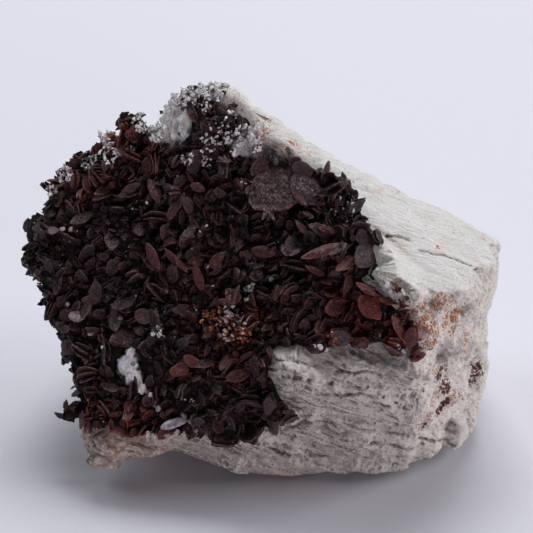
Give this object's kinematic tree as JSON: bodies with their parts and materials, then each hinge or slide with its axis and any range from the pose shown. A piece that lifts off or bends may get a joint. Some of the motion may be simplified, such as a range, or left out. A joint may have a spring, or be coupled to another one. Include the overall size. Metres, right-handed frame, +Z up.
{
  "type": "siderite crystal specimen on matrix",
  "caption": "Broken chunk of pale layered rock whose leaning front is covered by a druse of dark brown lens-shaped siderite crystals, with small quartz and calcite, resting on its flat foot.",
  "frame": {"origin": "middle of the specimen's box, on the surface that it rests on", "axes": "+X along the specimen's longest extent, towards its broken right end; the crystal face looks towards -Y and up; +Z up"},
  "size_m": [0.0664, 0.043, 0.047],
  "materials": {
    "rock": "dry, broken and finely layered, pale grey-beige with rusty specks",
    "siderite": "satin to pearly crystal faces, dark brown with red-brown edges",
    "quartz": "clear to milky small points, glassy",
    "calcite": "milky white, a little waxy"
  },
  "bodies": {
    "root": {"matrix_rock": "rock", "siderite_druse": "siderite", "quartz_peak": "quartz", "quartz_shoulder": "quartz", "quartz_left": "quartz", "calcite_lump": "calcite", "pale_lens": "calcite"}
  },
  "joints": []
}
